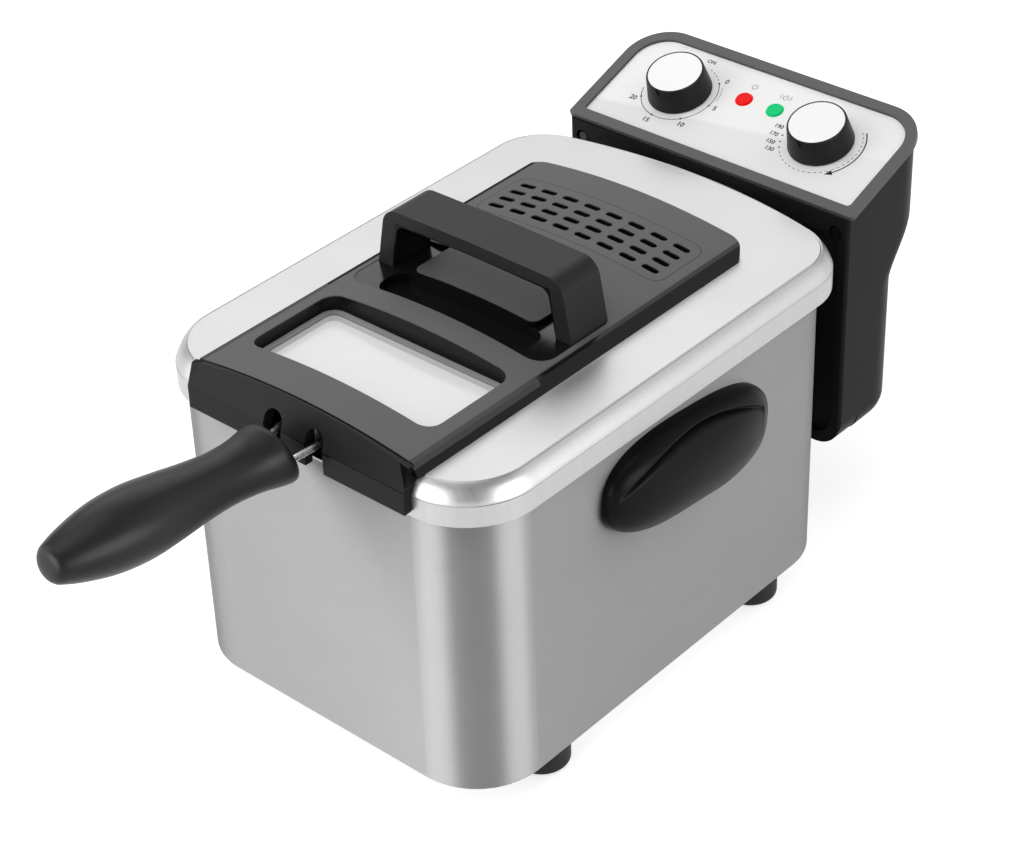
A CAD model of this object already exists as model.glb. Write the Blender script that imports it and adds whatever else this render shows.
# %% [markdown]
# # A deep fryer and its finishes
# A household deep fryer is a steel box with a lift-out pot, a basket on a long handle, a control
# head that slides down behind the pot, and a lid with a plastic top. Its solids come packed from
# CAD as a fixed frame, with every moving part already on its own body. This notebook gives those
# solids their finishes, and replaces the ones whose real surface is softer or finer than a solid.

import math

import bmesh
import bpy
import numpy as np
from mathutils import Matrix, Vector


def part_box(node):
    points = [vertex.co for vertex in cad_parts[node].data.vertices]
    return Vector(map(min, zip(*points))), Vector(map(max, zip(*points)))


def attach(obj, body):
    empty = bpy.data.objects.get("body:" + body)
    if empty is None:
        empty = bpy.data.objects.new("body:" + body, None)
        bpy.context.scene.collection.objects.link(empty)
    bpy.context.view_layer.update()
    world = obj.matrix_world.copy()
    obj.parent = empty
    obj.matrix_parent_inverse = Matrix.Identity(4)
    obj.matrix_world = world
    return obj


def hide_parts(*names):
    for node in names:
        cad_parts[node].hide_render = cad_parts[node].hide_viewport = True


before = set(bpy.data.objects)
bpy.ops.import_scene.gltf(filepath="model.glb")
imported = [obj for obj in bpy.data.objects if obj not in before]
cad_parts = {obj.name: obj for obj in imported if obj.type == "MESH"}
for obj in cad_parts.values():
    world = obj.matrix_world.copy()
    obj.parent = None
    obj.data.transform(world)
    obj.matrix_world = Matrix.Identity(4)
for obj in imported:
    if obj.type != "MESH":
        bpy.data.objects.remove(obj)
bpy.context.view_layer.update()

# %% [markdown]
# Sizes below are millimetres measured from the middle of the steel housing, with Z = 0 on the
# table, because that is how a maker would dimension the fryer. One helper turns them into metres
# in the frame, so no piece needs fitting by eye.

# %% Measure from the middle of the housing
low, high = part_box("housing_shell")
MIDDLE = np.array([(low.x + high.x) / 2, (low.y + high.y) / 2, 0.0])
PER_METRE = 1000  # millimetres


def metres(points):
    """Millimetres from the housing's middle, as metres in the frame: points / 1000 + middle."""
    return np.asarray(points, float) / PER_METRE + MIDDLE


print("middle of the housing in metres:", MIDDLE.round(5))

# %% [markdown]
# The camera looks down at the fryer's front right corner. It could be aimed with a Track To
# constraint, but writing its three axes as vectors keeps the view's slight roll exact: one axis
# points back from the fryer to the lens, one to the right, one up.

# %% Place the camera
AZIMUTH, ELEVATION, ROLL = (math.radians(a) for a in (42.25, 34.75, -2.11))
FOCAL_LENGTH, SENSOR_WIDTH = 93.237, 36
lens_place = Vector((0.71724, -0.78966 + MIDDLE[1], 0.84797))
back_axis = Vector((math.sin(AZIMUTH) * math.cos(ELEVATION),
                    -math.cos(AZIMUTH) * math.cos(ELEVATION), math.sin(ELEVATION)))
level_axis = Vector((math.cos(AZIMUTH), math.sin(AZIMUTH), 0))
rise_axis = back_axis.cross(level_axis)
right_axis = level_axis * math.cos(ROLL) + rise_axis * math.sin(ROLL)
up_axis = rise_axis * math.cos(ROLL) - level_axis * math.sin(ROLL)
camera = bpy.data.objects.new("camera", bpy.data.cameras.new("camera"))
camera.matrix_world = Matrix.Translation(lens_place) @ Matrix(
    (right_axis, up_axis, back_axis)).transposed().to_4x4()
camera.data.lens = FOCAL_LENGTH
camera.data.sensor_width = SENSOR_WIDTH
bpy.context.scene.collection.objects.link(camera)
bpy.context.scene.camera = camera
bpy.context.scene.view_settings.view_transform = "Standard"
print("camera at", tuple(round(v, 3) for v in lens_place))

# %% [markdown]
# A finish is a small network of shader nodes. Wiring them one by one is long, so a socket is
# wrapped in a class whose plus, minus and times signs add Math nodes. A grain is then written the
# way it is thought of: so much noise, times a depth, plus a base roughness.

# %% Shader arithmetic


class Value:
    """A socket that carries a number. Arithmetic on it adds the Math node that works it out."""

    def __init__(self, owner, socket):
        self.owner = owner
        self.socket = socket

    def maths(self, operation, *values):
        """A Math node on the values given, in their order."""
        return self.owner.node("ShaderNodeMath", {"operation": operation}, dict(enumerate(values)))

    def __add__(self, other):
        return self.maths("ADD", self, other)

    def __sub__(self, other):
        return self.maths("SUBTRACT", self, other)

    def __rsub__(self, other):
        return self.maths("SUBTRACT", other, self)

    def __mul__(self, other):
        return self.maths("MULTIPLY", self, other)

    def __truediv__(self, other):
        return self.maths("DIVIDE", self, other)

    def __gt__(self, other):
        return self.maths("GREATER_THAN", self, other)

    def __lt__(self, other):
        return self.maths("LESS_THAN", self, other)

    def __abs__(self):
        return self.maths("ABSOLUTE", self)

    __radd__ = __add__
    __rmul__ = __mul__

    def at_least(self, other):
        """This number, or the other where the other is larger."""
        return self.maths("MAXIMUM", self, other)

    def clamped(self):
        """This number held between 0 and 1."""
        return self.maths("MINIMUM", self, 1).at_least(0)

    def root(self):
        return self.maths("SQRT", self)


class Network:
    """The nodes of a material or of the sky."""

    def __init__(self, tree):
        self.tree = tree

    def node(self, kind, settings, values, out=0):
        """Adds a node: its settings first, then the numbers or links of its sockets."""
        made = self.tree.nodes.new(kind)
        for key, value in settings.items():
            setattr(made, key, value)
        for key, value in values.items():
            self.feed(made.inputs[key], value)
        return Value(self, made.outputs[out])

    def feed(self, socket, value):
        """Links a Value to a socket, or writes a fixed number or colour on it."""
        if isinstance(value, Value):
            self.tree.links.new(value.socket, socket)
        else:
            socket.default_value = value


class Finish(Network):
    """One material: a Principled surface, and the nodes that vary it."""

    def __init__(self, name, **fixed):
        self.material = bpy.data.materials.new(name)
        self.material.use_nodes = True
        super().__init__(self.material.node_tree)
        self.surface = self.tree.nodes["Principled BSDF"]
        self.set(**fixed)

    def set(self, **values):
        """Feeds the surface's sockets, each named with _ for a space."""
        for socket, value in values.items():
            self.feed(self.surface.inputs[socket.replace("_", " ")], value)
        return self.material

    def place(self, **mapping):
        """Object coordinates in millimetres, moved, turned or stretched by a Mapping node."""
        here = self.node("ShaderNodeTexCoord", {}, {}, "Object")
        return self.node("ShaderNodeMapping", {}, {"Vector": here, **mapping})

    def spot(self):
        """Where a point is, as x, y and z in millimetres from the housing's middle."""
        moved = self.place(Scale=[PER_METRE] * 3, Location=(MIDDLE * -PER_METRE).tolist())
        return [self.node("ShaderNodeSeparateXYZ", {}, {"Vector": moved}, axis) for axis in "XYZ"]

    def noise(self, size, stretch=(1, 1, 1), detail=2.0):
        """Soft noise from 0 to 1 whose blobs are about size millimetres across."""
        return self.node("ShaderNodeTexNoise", {}, {
            "Vector": self.place(Scale=[PER_METRE * s for s in stretch]),
            "Scale": 1 / size, "Detail": detail})

    def blend(self, amount, first, second):
        """A colour between two others."""
        return self.node("ShaderNodeMix", {"data_type": "RGBA"}, {
            "Factor": amount, "A": first, "B": second}, 2)

    def bump(self, height, depth):
        """Leans the surface by a height of 0 to 1 that is depth millimetres deep."""
        self.feed(self.surface.inputs["Normal"], self.node("ShaderNodeBump", {}, {
            "Height": height, "Distance": depth / PER_METRE}))


def tone(level, tint=(1, 1, 1)):
    """A screen grey from 0 to 255, tinted, as the linear colour that renders as it."""
    s = np.array(tint) * level / 255
    linear = np.where(s <= 0.04045, s / 12.92, ((s + 0.055) / 1.055) ** 2.4)
    return (*linear.tolist(), 1.0)


print("tone 128 is linear", round(tone(128)[0], 3))

# %% [markdown]
# Sheet steel on a fryer is brushed: a belt drags very fine parallel scratches along it, so a
# reflection spreads across the scratches and stays sharp along them. Noise squeezed hard in one
# direction gives the scratches, and the shader's anisotropy gives the spread that they cause.
# Wires, screws and small sheet pieces are drawn or plated: they have faint marks and a cloudy
# polish with no direction.

# %% Brushed and polished metals


def brushed(name, level, rough, spread, scratch, depth=0.002):
    """Steel whose scratches are noise, squeezed by scratch along X, Y and Z, in two sizes. spread
    is the shader's anisotropy, turned a quarter round, which spreads a reflection upright."""
    metal = Finish(name, Metallic=1.0, Anisotropic=spread, Anisotropic_Rotation=0.25)
    fine = metal.noise(1.0, scratch, 3)
    broad = metal.noise(2.6, [s * 0.6 for s in scratch], 2)
    smudge = metal.noise(38, detail=3)
    metal.bump(fine * 0.7 + broad * 0.3, depth)
    return metal.set(
        Base_Color=metal.blend(fine * 0.5 + broad * 0.5, tone(level - 9), tone(level + 9)),
        Roughness=rough + (broad - 0.5) * 0.1 + (smudge - 0.5) * 0.07)


def drawn(name, level, rough, grain=1.4, tint=(1, 1, 1)):
    """Bright drawn or plated metal: faint drawing marks and a cloudy polish."""
    metal = Finish(name, Metallic=1.0)
    marks = metal.noise(grain, detail=3)
    cloud = metal.noise(14, detail=3)
    metal.bump(marks, 0.006)
    return metal.set(
        Base_Color=metal.blend(cloud, tone(level - 12, tint), tone(level + 8, tint)),
        Roughness=rough + (marks - 0.5) * 0.12 + (cloud - 0.5) * 0.08)


housing_steel = brushed("housing_steel", 160, 0.55, 0.95, (0.05, 0.05, 5))
lid_steel = brushed("lid_steel", 183, 0.38, 0.0, (0.06, 4, 0.06), 0.0012)
pot_steel = brushed("pot_steel", 158, 0.32, 0.3, (0.1, 0.1, 3))
plate_steel = drawn("plate_steel", 196, 0.36)
chrome = drawn("chrome_wire", 172, 0.2, 3.0)
bright_wire = drawn("bright_wire", 240, 0.28, 3.0)
element_steel = drawn("element_steel", 140, 0.42, 1.1, (1, 0.97, 0.93))
copper = drawn("copper", 190, 0.3, 2.0, (1, 0.66, 0.5))
dark_screw = drawn("dark_screw", 60, 0.4)
print("metals:", [m.name for m in bpy.data.materials if "steel" in m.name])

# %% [markdown]
# Moulded plastic copies the skin of its mould. A lid top or a casing is spark-etched, a satin
# grain of a few tenths of a millimetre, while a glossy trim is polished and shows only a slow
# ripple. The grain changes the roughness as well as the height, or it would look painted on.

# %% Moulded plastics
POLISHED_DARK, POLISHED_LIGHT, POLISHED_ROUGH = tone(15), tone(22), 0.13


def moulded(name, level, rough, grain=0.5, depth=0.02, tint=(1, 1, 1), coat=0.0, ripple=0.03,
            gloss=0.3, polished=None, shaded=None, vary=1.0):
    """Etched plastic: grain and depth in millimetres. A rule polished(x, y, z) gives 1 where the
    mould is polished instead, and the plastic there is glossy black. A rule shaded(x, y, z) gives
    the share by which the colour is darkened."""
    plastic = Finish(name, Coat_Weight=coat, Coat_Roughness=0.12, Specular_IOR_Level=gloss)
    etch = plastic.noise(grain, detail=3)
    cloud = plastic.noise(30, detail=2)
    colour = plastic.blend(etch * 0.5 + cloud * 0.5, tone(level * (1 - 0.07 * vary), tint),
                           tone(level * (1 + 0.05 * vary) + vary, tint))
    roughness = rough + (etch - 0.5) * 0.16 + (cloud - 0.5) * 0.06
    grained = etch + cloud * (ripple / depth)
    if shaded:
        colour = plastic.blend(shaded(*plastic.spot()), colour, tone(level * 0.5, tint))
    if polished:
        share = polished(*plastic.spot())
        colour = plastic.blend(share, colour,
                               plastic.blend(cloud, POLISHED_DARK, POLISHED_LIGHT))
        roughness = roughness + share * (POLISHED_ROUGH - roughness)
        grained = grained * (1 - share)
    plastic.bump(grained, depth)
    return plastic.set(Base_Color=colour, Roughness=roughness)


print("polished plastic is linear", round(POLISHED_DARK[0], 4), "to", round(POLISHED_LIGHT[0], 4))

# %% [markdown]
# The lid's top, its front trim and the handle each come out of one mould that is etched in some
# places and polished in others, and the fascia and the pane carry printed greys. The borders could
# be cut into each mesh. A rule on a point's place does it in the material, so the solids stay as
# they are. Each rule is made of comparisons, which are 1 where they hold and 0 elsewhere. Rounded
# rectangles are given as half width, middle Y, half length and corner radius.

# %% Where the plastic is polished or darker
CROWN_TOP, CROWN_FALL = 197.9, 800  # the lid's top falls from CROWN_TOP by x squared / CROWN_FALL
SLOPE_X, SLOPE_Z, SLOPE_REAR = 62.5, 190.6, -54
VENT_GROOVE, VENT_GROOVE_HALF = (58, 59.8, 19.5, 7), 0.35
ARCH_INSIDE, ARCH_LEAN, ARCH_FOOT, ARCH_CEILING = 51.5, 0.148, 191.6, 218.9
TRIM_END, TRIM_LEAN, TRIM_Z = 65.4, 0.58, 187
TRIM_CREASE, TRIM_CREASE_HALF = 181.9, 0.45
PANE_CLEAR = (50, -87.7, 21.1, 5)


def beyond(x, y, half_x, middle_y, half_y, corner):
    """Distance outside a rectangle with rounded corners: the length of (over_x, over_y), which
    are how far a point is past the corner circles' middles, less the corner's radius."""
    over_x = (abs(x) - half_x + corner).at_least(0)
    over_y = (abs(y - middle_y) - half_y + corner).at_least(0)
    return (over_x * over_x + over_y * over_y).root() - corner


def lid_top_polish(x, y, z):
    """1 below the crown, but not on the side slopes in front, and 1 along the two edges behind."""
    behind = y > SLOPE_REAR
    below = 1 - (z > CROWN_TOP - x * x / CROWN_FALL)
    front_slope = (abs(x) > SLOPE_X) * (z > SLOPE_Z) * (1 - behind)
    return (below * (1 - front_slope) + behind * (abs(x) > SLOPE_X + 1.5)).clamped()


def lid_top_shade(x, y, z):
    """Darker in a fine groove round the vents, and along the two side edges."""
    groove = abs(beyond(x, y, *VENT_GROOVE)) < VENT_GROOVE_HALF
    return groove * 0.6 + (abs(x) > SLOPE_X + 0.9) * 0.7


def arch_polish(x, y, z):
    """1 on the inside of the arch, whose legs lean in as they rise."""
    return (abs(x) < ARCH_INSIDE - (z - ARCH_FOOT) * ARCH_LEAN) * (z < ARCH_CEILING)


def trim_polish(x, y, z):
    """1 on the two ends of the front trim, and along the crease above its skirt."""
    ends = abs(x) > TRIM_END - (z - TRIM_Z) * TRIM_LEAN
    return ends + (1 - ends) * (abs(z - TRIM_CREASE) < TRIM_CREASE_HALF)


def trim_skirt(x, y, z):
    """Darker below the crease."""
    return 0.7 * (z < TRIM_CREASE)


def pane_border(x, y, z):
    """Darker in a band round the clear part of the pane."""
    return (beyond(x, y, *PANE_CLEAR) > 0) * 0.4


def fascia_wash(x, y, z):
    """A pale grey wash in front of a slanting line, y = 181.5 + 0.14 x, weaker to the right."""
    inside = ((181.5 + x * 0.14 - y) / 2.5).clamped()
    return inside * (0.15 - ((x + 40) / 140).clamped() * 0.08)


print("lid top polished behind y =", SLOPE_REAR, "and beyond x =", SLOPE_X + 1.5)

# %% [markdown]
# Each plastic has its grey, its roughness, and the size and depth of its grain. Broad lamps turn a
# black plastic grey where its gloss is strong, so the specular level of the blacks is set well
# under the usual one. The white caps and the fascia vary less than the blacks do.

# %% The fryer's plastics and rubber
black_plastic = moulded("black_plastic", 27, 0.42, gloss=0.07)
knob_plastic = moulded("knob_plastic", 38, 0.4, gloss=0.1)
gloss_black = moulded("gloss_black", 17, 0.16, 2.5, 0.002, gloss=0.3)
lid_plastic = moulded("lid_plastic", 94, 0.46, 0.45, 0.012, gloss=0.14,
                      polished=lid_top_polish, shaded=lid_top_shade)
trim_plastic = moulded("trim_plastic", 34, 0.42, 0.45, 0.012, gloss=0.1,
                       polished=trim_polish, shaded=trim_skirt)
grip_plastic = moulded("grip_plastic", 38, 0.36, 0.5, 0.01, (1, 1, 1.02), gloss=0.2)
cap_white = moulded("cap_white", 250, 0.3, 0.4, 0.003, vary=0.3)
handle_plastic = moulded("handle_plastic", 43, 0.38, 0.45, 0.012, gloss=0.12,
                         polished=arch_polish)
side_plastic = moulded("side_handle_plastic", 19, 0.34, 0.6, 0.006, (0.97, 1, 0.99), gloss=0.07)
panel_grey = moulded("panel_grey", 84, 0.4, 0.4, 0.01)
fascia_white = moulded("fascia_white", 248, 0.38, 0.4, 0.004, gloss=0.15,
                       shaded=fascia_wash, vary=0.2)
rubber = moulded("rubber", 20, 0.62, 0.7, 0.03)
gasket = moulded("gasket", 150, 0.6, 0.5, 0.02)
switch_body = moulded("switch_body", 190, 0.45, 0.6, 0.01, (1, 0.97, 0.9))
ceramic = moulded("ceramic", 225, 0.3, 1.2, 0.01, (1, 0.98, 0.93))
red_plastic = moulded("red_plastic", 200, 0.35, 0.6, 0.01, (1, 0.15, 0.1))
wire_red = moulded("wire_red", 185, 0.5, 0.8, 0.01, (1, 0.16, 0.12))
filter_felt = moulded("filter", 205, 0.9, 0.9, 0.25, (1, 0.97, 0.9))
print("plastics:", [m.name for m in bpy.data.materials if "plastic" in m.name])

# %% [markdown]
# The pilot lenses and the lamps behind them are clear coloured plastic. Real transparency would
# show only the dark hole behind, so they are opaque and glow a little in their own colour. The
# window looks pale from the mist under it: it is a smooth plastic with a thin clear coat.

# %% Lenses and glass


def lens_finish(name, colour, glow):
    """Coloured plastic with a moulding ripple, and a faint light of its own colour."""
    lens = Finish(name, Specular_IOR_Level=0.08, Emission_Strength=glow)
    ripple = lens.noise(1.6, detail=2)
    lens.bump(ripple, 0.01)
    shade = lens.blend(ripple, [c * 0.85 for c in colour[:3]] + [1], colour)
    return lens.set(Base_Color=shade, Emission_Color=shade, Roughness=0.12 + ripple * 0.08)


red_lens = lens_finish("red_lens", (0.85, 0.0005, 0.0005, 1), 0.2)
green_lens = lens_finish("green_lens", (0.0005, 0.6, 0.18, 1), 0.15)
lamp_orange = lens_finish("lamp_orange", (0.9, 0.25, 0.04, 1), 0.2)
window_glass = moulded("window_glass", 238, 0.14, 6, 0.004, coat=0.2, ripple=0.001, gloss=0.15,
                       shaded=pane_border, vary=0.15)
print("lenses:", red_lens.name, green_lens.name, lamp_orange.name)

# %% [markdown]
# A solid from the CAD frame brings its material slots along. Its mesh stays as it is, and only the
# material in each slot is changed, from one table of finishes and the solids that wear them.

# %% Give every solid its finish
FINISHES = [
    (housing_steel, "housing_shell"),
    (lid_steel, "lid_shell"),
    (pot_steel, "oil_pot"),
    (plate_steel, "base_plate housing_screws element_bracket lid_screws lid_liner "
                  "drain_hook handle_bracket"),
    (bright_wire, "handle_wire"),
    (chrome, "basket_floor_mesh basket_front_mesh basket_rear_mesh basket_left_mesh "
             "basket_right_mesh basket_frame"),
    (dark_screw, "head_screws"),
    (element_steel, "heating_element"),
    (copper, "sensor_bulb capillary_tube"),
    (cap_white, "timer_knob_cap thermostat_knob_cap"),
    (rubber, "foot_front_left foot_front_right foot_rear_left foot_rear_right cord_inlet"),
    (black_plastic, "rear_guide head_front_cover head_rear_cover mounting_tongue handle_grip "
                    "interlock_switch filter_cover thermal_cutout"),
    (knob_plastic, "timer_knob thermostat_knob"),
    (side_plastic, "side_handle_left side_handle_right"),
    (gloss_black, "handle_base"),
    (lid_plastic, "lid_insert"),
    (trim_plastic, "lid_front_trim"),
    (handle_plastic, "handle_arch"),
    (panel_grey, "panel_frame"),
    (fascia_white, "fascia_plate"),
    (window_glass, "window_pane"),
    (gasket, "window_gasket"),
    (switch_body, "thermostat_unit timer_unit"),
    (ceramic, "terminal_block"),
    (wire_red, "wiring"),
    (red_plastic, "interlock_plunger reset_button"),
    (red_lens, "red_lens"),
    (green_lens, "green_lens"),
    (lamp_orange, "pilot_lamps"),
    (filter_felt, "filter_mat")]
for finish, names in FINISHES:
    for name in names.split():
        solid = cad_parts[name]
        if not solid.material_slots:
            solid.data.materials.append(finish)
        for place in solid.material_slots:
            place.material = finish
print("finishes given to", sum(len(names.split()) for _, names in FINISHES), "solids")

# %% [markdown]
# The pieces that follow are surfaces worked out as arrays. Nearly all of them are a closed line
# carried through a row of places: rings of points, joined by quads, with a cap on each end. One
# helper joins the rings, and another puts the result on the body that it moves with.

# %% Rings of points made into pieces


def loft(rings):
    """Quads between each ring and the next, point i to point i, and a cap on each end ring."""
    count, around = rings.shape[:2]
    near = np.arange(count * around).reshape(count, around)
    side = np.roll(near, -1, axis=1)
    quads = np.stack([near[:-1], side[:-1], side[1:], near[1:]], -1).reshape(-1, 4).tolist()
    caps = [near[0][::-1].tolist(), near[-1].tolist()]
    return rings.reshape(-1, 3), quads + caps


def join(*shapes):
    """Several (points, faces) as one, each one's faces counted on from the last."""
    points, faces, count = [], [], 0
    for more, its_faces in shapes:
        points.append(np.asarray(more, float))
        faces += [[i + count for i in face] for face in its_faces]
        count += len(more)
    return np.vstack(points), faces


def piece(name, shape, finish, body, stands_for=(), crease=32, closed=True):
    """A mesh from (points in millimetres, faces) that rides on a body and stands for solids. The
    faces of a closed one are turned outwards, and edges sharper than crease degrees stay sharp."""
    points, faces = shape
    mesh = bpy.data.meshes.new(name)
    mesh.from_pydata(metres(points).tolist(), [], faces)
    if closed:
        skin = bmesh.new()
        skin.from_mesh(mesh)
        bmesh.ops.recalc_face_normals(skin, faces=skin.faces)
        skin.to_mesh(mesh)
        skin.free()
    mesh.shade_smooth()
    mesh.set_sharp_from_angle(angle=math.radians(crease))
    mesh.materials.append(finish)
    made = bpy.data.objects.new(name, mesh)
    bpy.context.scene.collection.objects.link(made)
    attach(made, body)
    if stands_for:
        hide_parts(*stands_for)
    print(name, len(mesh.vertices), "points")


def turned(profile, steps=64):
    """Rings of a turned shape: each (radius, height) pair carried once round Z."""
    profile = np.asarray(profile, float)
    angle = np.linspace(0, 2 * np.pi, steps, endpoint=False)
    ring = np.stack([np.cos(angle), np.sin(angle), np.zeros(steps)], -1)
    rings = profile[:, :1, None] * ring[None]
    rings[:, :, 2] = profile[:, 1:2]
    return rings


def smooth(stations, steps):
    """Cubic Hermite curves through rows of numbers, whose first column is where each row stands:
    (2t3 - 3t2 + 1) low + (t3 - 2t2 + t) slope + (3t2 - 2t3) high + (t3 - t2) next slope."""
    table = np.asarray(stations, float)
    at = np.linspace(table[0, 0], table[-1, 0], steps)
    slope = np.gradient(table[:, 1:], table[:, 0], axis=0)
    left = np.clip(np.searchsorted(table[:, 0], at, "right") - 1, 0, len(table) - 2)
    gap = (table[left + 1, 0] - table[left, 0])[:, None]
    t = ((at - table[left, 0]) / gap[:, 0])[:, None]
    low, high = table[left, 1:], table[left + 1, 1:]
    curve = ((2 * t**3 - 3 * t**2 + 1) * low + (t**3 - 2 * t**2 + t) * gap * slope[left]
             + (3 * t**2 - 2 * t**3) * high + (t**3 - t**2) * gap * slope[left + 1])
    return np.hstack([at[:, None], curve])


print("a ring turned once round has", turned([(1, 0)]).shape[1], "points")

# %% [markdown]
# The basket's grip is one moulding with a full belly, a waist and a flared root that is cut at a
# slant, so that it clears the lid. A subdivided cage could be pulled into it, but the real form is
# a turned one, so a profile is carried along a line that climbs six degrees, and the first rings
# lean over for the slanted root.

# %% Basket grip
GRIP_ROOT = np.array([0, -154, 180.8])
GRIP_RISE = math.radians(6)
ROOT_LENGTH, ROOT_SLANT, ROOT_SHIFT = 40, 0.38, 1.5
grip_profile = smooth([(0, 15.3), (3, 15.9), (7, 15.5), (16, 13.9), (33, 12.9), (50, 14.0),
                       (66, 15.8), (84, 17.2), (100, 16.3), (114, 13.5), (123, 10.9),
                       (128, 9.0)], 90)
root_edge = [(0, 13.6), (0.15, 14.5), (0.6, 15.1)]
end_edge = [(129.2, 8.0), (130.1, 6.8), (130.6, 5.2), (130.9, 3.2), (131.0, 1.2)]
grip_line = np.vstack([root_edge, grip_profile[1:], end_edge])
grip = turned(grip_line[:, ::-1], 96)
near_root = np.clip(1 - grip[:, :, 2] / ROOT_LENGTH, 0, 1)
grip[:, :, 2] += ROOT_SLANT * near_root * grip[:, :, 1] + ROOT_SHIFT * near_root
along = np.array([0, -math.cos(GRIP_RISE), math.sin(GRIP_RISE)])
above = np.array([0, math.sin(GRIP_RISE), math.cos(GRIP_RISE)])
grip = GRIP_ROOT + grip @ np.array([[1, 0, 0], above, along])
piece("grip", loft(grip), grip_plastic, "basket_handle", ["handle_grip"])

# %% [markdown]
# The handle's two plated wires stand on a cross pin, the pivot of the handle in its bracket. They
# rise, and bend forward into the grip. A curve with a round bevel would do, but a ring carried
# along a smoothed line keeps the piece a closed mesh like the rest, so the same helper joins it.

# %% Handle wires


def rounded_line(corners, radius, steps=9):
    """A line through corners, each bend a quadratic curve that starts radius before it."""
    corners = np.asarray(corners, float)
    line = [corners[0]]
    for before, bend, after in zip(corners[:-2], corners[1:-1], corners[2:]):
        start, stop = (bend + (end - bend) * min(radius / np.linalg.norm(end - bend), 0.48)
                       for end in (before, after))
        t = np.linspace(0, 1, steps)[:, None]
        line.extend((1 - t)**2 * start + 2 * t * (1 - t) * bend + t * t * stop)
    return np.vstack(line + [corners[-1]])


def tube(line, radius, sides=20):
    """A circle carried along a line that stays in one plane X = constant."""
    line = np.asarray(line, float)
    ahead = np.gradient(line, axis=0)
    ahead /= np.linalg.norm(ahead, axis=1)[:, None]
    across = np.array([1.0, 0, 0])
    over = np.cross(ahead, across)
    over /= np.linalg.norm(over, axis=1)[:, None]
    turn = np.linspace(0, 2 * np.pi, sides, endpoint=False)[None, :, None]
    return line[:, None] + radius * (np.cos(turn) * across + np.sin(turn) * over[:, None])


PIVOT_Y, PIVOT_Z = -116, 150
WIRE_BEND, WIRE_RADIUS, PIN_RADIUS, PIN_HALF = 7, 1.7, 1.5, 21.5
NECK = [(14, PIVOT_Y, 136), (14, PIVOT_Y, PIVOT_Z), (14, PIVOT_Y, 178.5), (14, -120, 182.5),
        (10.5, -151, 180.5), (10.5, -167, 182.2)]
wires = [tube(rounded_line([(side * x, y, z) for x, y, z in NECK], WIRE_BEND), WIRE_RADIUS)
         for side in (-1, 1)]
cross_pin = turned([(PIN_RADIUS - 0.1, -PIN_HALF), (PIN_RADIUS, 0.1 - PIN_HALF),
                    (PIN_RADIUS, PIN_HALF - 0.1), (PIN_RADIUS - 0.1, PIN_HALF)], 24)
cross_pin = cross_pin[:, :, [2, 0, 1]] + np.array([0, PIVOT_Y, PIVOT_Z])
piece("handle_wires", join(*[loft(w) for w in wires], loft(cross_pin)),
      bright_wire, "basket_handle", ["handle_wire"])

# %% [markdown]
# The lid is one steel pressing: a straight rim, a fine ledge, a rounded shoulder, and a flat top
# with a fine groove where the shoulder ends. Its section is the same all the way round, so the
# section is carried along the rim's outline, open at the front where the handle's wires pass. The
# plastic top covers a hole in the middle, and the rim stops short of the head's bracket behind.

# %% Lid pressing
LID_HALF, LID_FRONT, LID_REAR, FRONT_R, REAR_R, BOW_R = 104, -139.5, 150.5, 38, 34, 320
LID_LOW, LID_TOP, SHEET, HOLE_HALF = 167, 187, 1, 62
WIRE_GAP, BRACKET_GAP, BRACKET_CLEAR = 23, 27, 182.4
SHOULDER = [(0, LID_LOW), (0, 177.7), (0.3, 178.0), (0.3, 178.4), (1.1, 180.3), (2.1, 182.3),
            (3.2, 184.2), (4.2, 185.6), (5.3, 186.7), (5.9, 186.4), (6.6, LID_TOP)]
UNDERSIDE = [(6.9, LID_TOP - SHEET), (SHEET, 178.6), (SHEET, LID_LOW)]


def lid_rim():
    """Half the rim from the front's middle round to the rear's: arcs, each with its normals."""
    bow_y, corner_x = LID_REAR - BOW_R, LID_HALF - REAR_R
    corner_y = bow_y + math.sqrt((BOW_R - REAR_R)**2 - corner_x**2)
    turn = math.acos(corner_x / (BOW_R - REAR_R))
    arcs = [(LID_HALF - FRONT_R, LID_FRONT + FRONT_R, FRONT_R, np.linspace(-np.pi / 2, 0, 25)),
            (corner_x, corner_y, REAR_R, np.linspace(0, turn, 21)),
            (0, bow_y, BOW_R, np.linspace(turn, np.pi / 2, 26)[1:])]
    front_x = np.linspace(WIRE_GAP, LID_HALF - FRONT_R, 6)[:-1]
    points = [np.stack([front_x, np.full(len(front_x), LID_FRONT)], -1)]
    normals = [np.tile([0.0, -1.0], (len(front_x), 1))]
    for x, y, r, angle in arcs:
        facing = np.stack([np.cos(angle), np.sin(angle)], -1)
        points.append(np.array([x, y]) + r * facing)
        normals.append(facing)
    return np.vstack(points), np.vstack(normals)


def at_height(outline, z):
    """An outline's (x, y) points, all lifted to one height."""
    return np.column_stack([outline, np.full(len(outline), z)])


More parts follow.
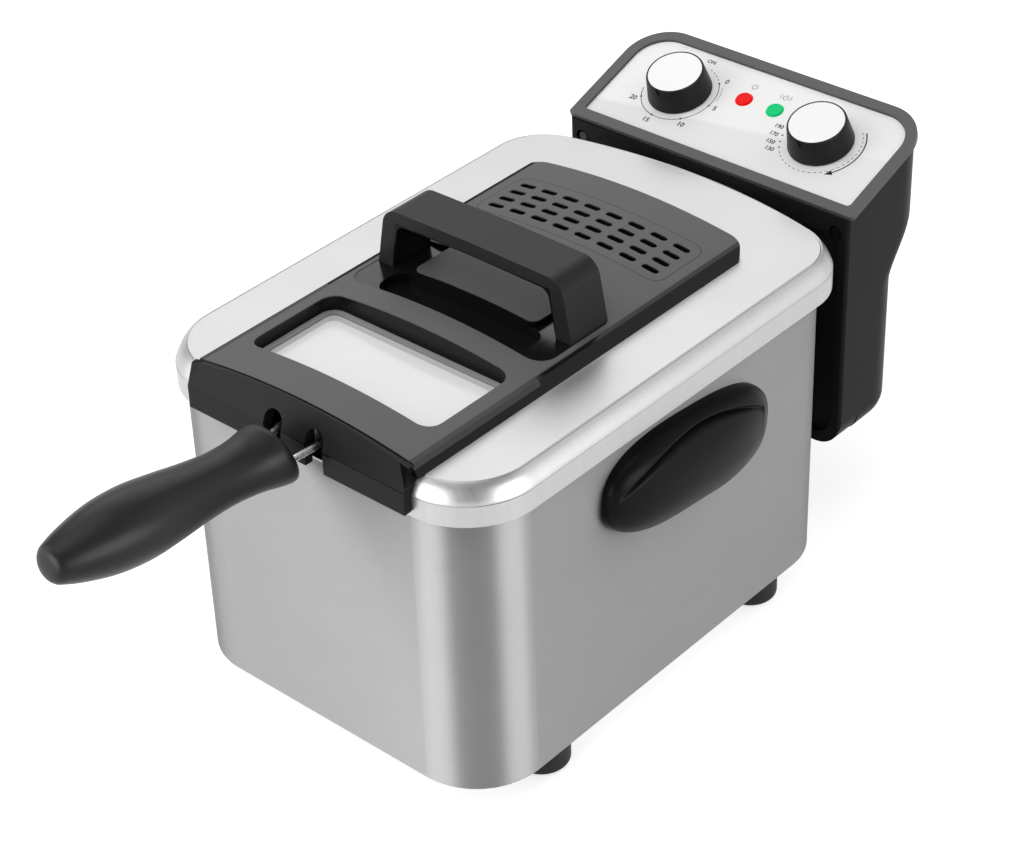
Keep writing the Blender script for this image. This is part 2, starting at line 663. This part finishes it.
half_rim, half_facing = lid_rim()
flip = np.array([-1, 1])
rim = np.vstack([half_rim, (half_rim * flip)[-2::-1]])
facing = np.vstack([half_facing, (half_facing * flip)[-2::-1]])
hole = np.stack([np.clip(0.93 * rim[:, 0], -HOLE_HALF, HOLE_HALF),
                 np.interp(rim[:, 1], [LID_FRONT, LID_FRONT + FRONT_R, 116, LID_REAR],
                           [-119, -95, 70, 90])], -1)
pressing = np.stack([at_height(rim - inset * facing, z) for inset, z in SHOULDER]
                    + [at_height(hole, z) for z in (LID_TOP, LID_TOP - SHEET)]
                    + [at_height(rim - inset * facing, z) for inset, z in UNDERSIDE], 1)
at_bracket = (np.abs(pressing[:, :, 0]) < BRACKET_GAP) & (pressing[:, :, 1] > 120)
pressing[:, :, 2] = np.where(at_bracket, np.maximum(pressing[:, :, 2], BRACKET_CLEAR),
                             pressing[:, :, 2])
piece("lid_pressing", loft(pressing), lid_steel, "lid", ["lid_shell"])

# %% [markdown]
# Each side handle is a blunt pod on the wall, hollow from below for the fingertips, with a crease
# pressed along it. Its surface is a dome over a superellipse outline, and the crease is a narrow
# groove along a curve, with the face below it sunk a little.

# %% Side handles
POD_HALF, POD_REACH, POD_BULGE, POD_POWER, POD_ROUND = 59.4, 25.8, 16.5, 2.7, 0.35
POD_WALL_X, POD_Y, POD_Z, POD_TILT = 100, 7.3, 133.2, math.radians(5.3)
POD_MOUTH, POD_ROOF, POD_SKIN = 38, 12, 2.6


def side_handle(side):
    """Along u and up height, outward = bulge times (1 - rho squared) to the power of round, where
    rho to the power = (u / half) to the power + (height / reach) to the power. The crease is a
    dip 1.3 wide along height = 21.6 - 0.0042 u^2 - 3.6e-7 u^4, and the face below it is sunk."""
    u = np.sin(np.linspace(-np.pi / 2, np.pi / 2, 161))[:, None] * (POD_HALF - 0.02)
    reach = POD_REACH * (1 - np.abs(u / POD_HALF)**POD_POWER)**(1 / POD_POWER)
    lowest = np.maximum(-reach, -19 - u**2 / 400)
    v = (np.sin(np.linspace(-np.pi / 2, np.pi / 2, 145)) + 1)[None] / 2
    height = lowest + (reach - lowest) * v
    rho = (np.abs(u / POD_HALF)**POD_POWER + np.abs(height / POD_REACH)**POD_POWER)
    dome = np.clip(1 - rho**(2 / POD_POWER), 0, None)**POD_ROUND * POD_BULGE
    crease = 21.6 - 0.0042 * u**2 - 3.6e-7 * u**4
    below = 1 / (1 + np.exp((height - crease) / 0.35))
    fade = np.sqrt(np.clip(1 - ((u + 4) / 52)**2, 0, 1))
    depth = (3.0 * np.exp(-((height - crease + 1.0) / 1.3)**2)
             + 1.7 * below * np.exp(-np.clip(crease - height, 0, None) / 18))
    out = np.clip(dome - depth * fade, 0, None)
    hollow = (np.abs(u) < POD_MOUTH) & (height < POD_ROOF)
    inner = np.where(hollow, np.clip(out - POD_SKIN, 0, None), 0)
    ring_out = np.concatenate([out, inner[:, -2:0:-1]], 1)
    ring_up = np.concatenate([height, height[:, -2:0:-1]], 1)
    return loft(np.stack([
        side * (POD_WALL_X + ring_out),
        POD_Y + u * math.cos(POD_TILT) + ring_up * math.sin(POD_TILT),
        POD_Z - u * math.sin(POD_TILT) + ring_up * math.cos(POD_TILT)], -1))


for side, word in ((-1, "left"), (1, "right")):
    piece("side_pod_" + word, side_handle(side), side_plastic, "housing",
          ["side_handle_" + word], crease=50)

# %% [markdown]
# The control head's rear cover is narrow below and swells over a soft waist to carry the panel.
# Each level has the same corners, and only the rear line moves back, so level rings follow an
# S-shaped curve. The top ring leans with the panel.

# %% Head rear cover
HEAD_HALF, HEAD_PARTING, HEAD_CORNER, HEAD_BOTTOM = 89, 169, 24, 51
HEAD_LOW_R, HEAD_WALL, HEAD_FLOOR_GAP = 15, 2.5, 0.05
WAIST, REAR_LINE = (138, 168), (208, 224)
PANEL_Y, PANEL_Z, PANEL_TILT, PANEL_T = 152.8, 189.8, math.radians(19), 2.5


def under_panel(y):
    """Height of the panel's underside at y."""
    return PANEL_Z - PANEL_T / math.cos(PANEL_TILT) + (y - PANEL_Y) * math.tan(PANEL_TILT)


def head_ring(share, inset):
    """A ring of the cover: share 0 is the bottom and 1 is the line under the panel. The rear line
    moves back by t t (3 - 2 t), and the lowest rings curl in on a quarter circle."""
    level = HEAD_BOTTOM + share * (under_panel(REAR_LINE[1]) - HEAD_BOTTOM)
    t = np.clip((level - WAIST[0]) / (WAIST[1] - WAIST[0]), 0, 1)
    rear = REAR_LINE[0] + (REAR_LINE[1] - REAR_LINE[0]) * t * t * (3 - 2 * t)
    curl = max(HEAD_LOW_R - (level - HEAD_BOTTOM), 0)
    inset = inset + HEAD_LOW_R - math.sqrt(HEAD_LOW_R**2 - min(curl, HEAD_LOW_R)**2)
    angle = np.linspace(0, np.pi / 2, 17)
    r = HEAD_CORNER - min(inset, HEAD_CORNER - 1)
    corner = np.stack([HEAD_HALF - inset - r + r * np.cos(angle),
                       rear - inset - r + r * np.sin(angle)], -1)
    half = np.vstack([np.stack([np.full(6, HEAD_HALF - inset),
                                np.linspace(HEAD_PARTING, rear - inset - r, 7)[:-1]], -1), corner])
    ring = np.vstack([half, (half * flip)[::-1]])
    rise = under_panel(ring[:, 1]) - HEAD_BOTTOM
    return np.column_stack([ring, HEAD_BOTTOM + share * rise])


shares = np.concatenate([np.linspace(0, 0.11, 12)[:-1], np.linspace(0.11, 1, 48)])
outer = np.stack([head_ring(s, 0) for s in shares])
inner = np.stack([head_ring(s, HEAD_WALL) for s in shares])
wall = loft(np.concatenate([outer, inner[:, ::-1]], 1))
bottom = loft(np.stack([head_ring(s, HEAD_FLOOR_GAP) for s in (0, 0.006, 0.018)]))
piece("head_rear_skin", join(wall, bottom), black_plastic, "control_unit",
      ["head_rear_cover"])

# %% [markdown]
# The scales round the knobs are screen-printed. An image could carry them, but ink as flat faces
# a few hundredths of a millimetre above the fascia stays sharp at any distance: ribbons for the
# lines, and letters from a text curve that is made a mesh.

# %% Ribbons and letters on the panel
INK_LIFT, KNOB_X, KNOB_S = -1.57, 45, 38.5  # the fascia lies below the frame's top, so -1.57


def on_panel(points):
    """(x, s) up the tilted panel, to (x, y, z): s goes back and up at the panel's tilt."""
    x, s = np.asarray(points, float)[:, :2].T
    lean, rise = math.cos(PANEL_TILT), math.sin(PANEL_TILT)
    return np.stack([x, PANEL_Y + s * lean - INK_LIFT * rise,
                     PANEL_Z + s * rise + INK_LIFT * lean], -1)


def ribbon(line, width):
    """A flat strip along a line: each point is pushed half the width to both sides."""
    line = np.asarray(line, float)
    ahead = np.gradient(line, axis=0)
    ahead /= np.linalg.norm(ahead, axis=1)[:, None]
    off = ahead[:, ::-1] * np.array([-1, 1]) * width / 2
    count = len(line)
    at = np.arange(count - 1)
    quads = np.stack([at + count, at + count + 1, at + 1, at], -1).tolist()
    return on_panel(np.vstack([line + off, line - off])), quads


def arc(x, s, radius, start, stop, width, steps=40):
    """A ribbon along part of a circle, from one angle to another in degrees."""
    angle = np.radians(np.linspace(start, stop, steps))
    line = np.stack([x + radius * np.cos(angle), s + radius * np.sin(angle)], -1)
    return ribbon(line[::-1] if stop < start else line, width)


def letters(text, x, s, size):
    """Words in Blender's own typeface as flat faces, centred at (x, s) on the panel."""
    curve = bpy.data.curves.new("type", "FONT")
    curve.body, curve.size, curve.align_x, curve.align_y = text, size, "CENTER", "CENTER"
    curve.resolution_u = 3  # few points, as small letters need no more
    curve.offset = 0.025 * size  # a little bolder
    holder = bpy.data.objects.new("type", curve)
    bpy.context.scene.collection.objects.link(holder)
    ready = holder.evaluated_get(bpy.context.evaluated_depsgraph_get())
    flat = ready.to_mesh()
    points = np.array([tuple(v.co) for v in flat.vertices])
    faces = [list(p.vertices) for p in flat.polygons]
    ready.to_mesh_clear()
    bpy.data.objects.remove(holder)
    return on_panel(points[:, :2] + np.array([x, s])), faces


print("panel tilted by", round(math.degrees(PANEL_TILT)), "degrees, ink at", INK_LIFT, "mm")

# %% [markdown]
# The timer counts minutes, and the thermostat has degrees, and an arc that ends in an arrowhead.
# Over each pilot light is a small mark. Angles are in degrees, anticlockwise from the right as
# seen from above, and radii are in millimetres from the knob's axis.

# %% Scales, icons and their ink
TIMER_MARKS = [("0", 40), ("5", -7), ("10", -53), ("15", -100), ("20", -146)]
HEAT_MARKS = [("130", -146), ("150", -157), ("170", -169), ("190", -181)]
TIMER_RING, HEAT_RING = 20.8, 21.4
ARROW_RING, ARROW_HALF, ARROW_FOOT, ARROW_TIP = 23.2, 1.7, -42, -52
ICON_X, ICON_S, FINE_LINE = 9.8, 57.5, 0.3


def round_mark(x, angle, radius, text, size=4.3):
    """A number beside a knob's ring, at an angle in degrees."""
    turn = math.radians(angle)
    return letters(text, x + radius * math.cos(turn), KNOB_S + radius * math.sin(turn), size)


marks = [arc(-KNOB_X, KNOB_S, TIMER_RING, -165, 40, 0.4, 120),
         round_mark(-KNOB_X, 84, 25.2, "ON", 3.4), arc(-KNOB_X, KNOB_S, 22.6, 5, 30, 0.22)]
marks += [arc(-KNOB_X, KNOB_S, TIMER_RING, a, a + 4.5, 0.35, 4) for a in np.arange(46, 78, 8)]
marks += [round_mark(-KNOB_X, a, 25, t) for t, a in TIMER_MARKS]
marks += [arc(-KNOB_X, KNOB_S, TIMER_RING, a - 1.4, a + 1.4, 1.1, 4) for _, a in TIMER_MARKS]
marks += [arc(KNOB_X, KNOB_S, HEAT_RING, a, a + 4, 0.35, 4) for a in np.arange(-138, 44, 8)]
marks += [arc(KNOB_X, KNOB_S, HEAT_RING, a - 1.2, a + 1.2, 0.9, 4) for _, a in HEAT_MARKS]
marks += [round_mark(KNOB_X, a, 26.4, t, 3.6) for t, a in HEAT_MARKS]
marks += [arc(KNOB_X, KNOB_S, ARROW_RING, ARROW_FOOT, 40, 0.7, 60)]
turn = np.radians([ARROW_FOOT, ARROW_TIP, ARROW_FOOT])
radius = ARROW_RING + np.array([-ARROW_HALF, 0, ARROW_HALF])
arrow = np.stack([KNOB_X + radius * np.cos(turn), KNOB_S + radius * np.sin(turn)], -1)
marks.append((on_panel(arrow), [[0, 1, 2]]))
for x in (-ICON_X, ICON_X):
    marks += [arc(x, ICON_S, 1.5, 120, 420, FINE_LINE),
              ribbon([(x, ICON_S + 0.1), (x, ICON_S + 2.1)], FINE_LINE)]
marks += [arc(ICON_X, ICON_S + 0.4, 3.1, start, start + 60, FINE_LINE) for start in (150, -30)]
print_ink = moulded("print_ink", 30, 0.5, 0.3, 0.002)
piece("fascia_print", join(*marks), print_ink, "control_unit", closed=False)

# %% [markdown]
# The fryer stands on pale paper. Lighting the paper up to white would light the fryer too, so the
# paper adds its own white only where the lens, a reflection or a view through glass looks at it,
# which Light Path tells. It still takes the fryer's shadow.

# %% Floor
FLOOR_HALF, FLOOR_GLOW = 4.0, 0.7


def looked_at(network, *rays):
    """1 where one of these kinds of ray arrives, else 0."""
    seen = [network.node("ShaderNodeLightPath", {}, {}, f"Is {ray} Ray") for ray in rays]
    total = seen[0]
    for ray in seen[1:]:
        total = total.at_least(ray)
    return total


floor_finish = Finish("floor_paper", Roughness=0.9, Emission_Color=(1, 1, 1, 1))
fibre = floor_finish.noise(1.5, detail=3)
floor_finish.bump(fibre, 0.02)
floor_finish.set(
    Base_Color=floor_finish.blend(fibre, tone(205), tone(208)),
    Emission_Strength=looked_at(floor_finish, "Camera", "Glossy", "Transmission") * FLOOR_GLOW)
floor_mesh = bpy.data.meshes.new("floor")
floor_mesh.from_pydata([(-FLOOR_HALF, -FLOOR_HALF, 0), (FLOOR_HALF, -FLOOR_HALF, 0),
                        (FLOOR_HALF, FLOOR_HALF, 0), (-FLOOR_HALF, FLOOR_HALF, 0)], [],
                       [(0, 1, 2, 3)])
floor_mesh.materials.append(floor_finish.material)
floor = bpy.data.objects.new("floor", floor_mesh)
bpy.context.scene.collection.objects.link(floor)
print("floor", 2 * FLOOR_HALF, "m across")

# %% [markdown]
# The sky is white to the lens. Steel mirrors it, and an even white makes steel look like paint, so
# a reflection sees it fade from white at the horizon to a darker grey higher up. As a lamp it has
# one even level, well under white, which leaves the shaping to the soft boxes.

# %% Sky
SKY_ZENITH, SKY_LIGHT, FADE_START, FADE_END = 0.3, 0.42, 0.02, 0.25
sky = bpy.data.worlds.new("studio")
sky.use_nodes = True
bpy.context.scene.world = sky
room = Network(sky.node_tree)
direction = room.node("ShaderNodeTexCoord", {}, {}, "Generated")
height = room.node("ShaderNodeSeparateXYZ", {}, {"Vector": direction}, "Z")
mirrored = room.node("ShaderNodeMapRange", {"interpolation_type": "SMOOTHSTEP"}, {
    "Value": height, "From Min": FADE_START, "From Max": FADE_END, "To Min": 1.0,
    "To Max": SKY_ZENITH})
strength = mirrored + looked_at(room, "Diffuse") * (SKY_LIGHT - mirrored)
strength = strength + looked_at(room, "Camera") * (1.0 - strength)
backdrop = sky.node_tree.nodes["Background"]
room.feed(backdrop.inputs["Strength"], strength)
room.feed(backdrop.inputs["Color"], (1, 1, 1, 1))
print("sky from 1 at the horizon to", SKY_ZENITH, "in a mirror")

# %% [markdown]
# Three soft boxes light the fryer: a broad one overhead, one in front and one behind on the right.
# Three white cards are there for the steel alone, as a studio sets cards for a mirror: the lid's
# top mirrors the one behind, and the upright corners mirror the two low ones. They are lamps that
# only glossy surfaces see, so they add no light to the plastics' own colours.

# %% Soft boxes and cards
AIM = Vector((0, 0, 0.1))


def soft_box(name, azimuth, elevation, distance, width, height, radiance):
    """A rectangular lamp that faces the fryer: watts = radiance times pi times its area."""
    around, up = math.radians(azimuth), math.radians(elevation)
    place = distance * Vector((math.sin(around) * math.cos(up), -math.cos(around) * math.cos(up),
                               math.sin(up))) + AIM
    lamp = bpy.data.lights.new(name, "AREA")
    lamp.shape, lamp.size, lamp.size_y = "RECTANGLE", width, height
    lamp.energy = radiance * math.pi * width * height
    box = bpy.data.objects.new(name, lamp)
    box.location = place
    box.rotation_euler = (AIM - place).to_track_quat("-Z", "Y").to_euler()
    box.visible_camera = False
    bpy.context.scene.collection.objects.link(box)
    return box


soft_box("box_overhead", -20, 78, 1.7, 1.5, 1.5, 1.7)
soft_box("box_front", -45, 24, 1.2, 0.85, 1.1, 1.8)
soft_box("box_rear_right", 136, 24, 1.2, 0.85, 1.1, 0.8)
for card in (soft_box("card_behind", 222, 42, 1.7, 1.7, 1.1, 1.75),
             soft_box("card_front", -6, 10, 1.1, 0.74, 0.56, 6.2),
             soft_box("card_right", 92, 10, 1.1, 0.72, 0.56, 5.6)):
    card.visible_diffuse = False
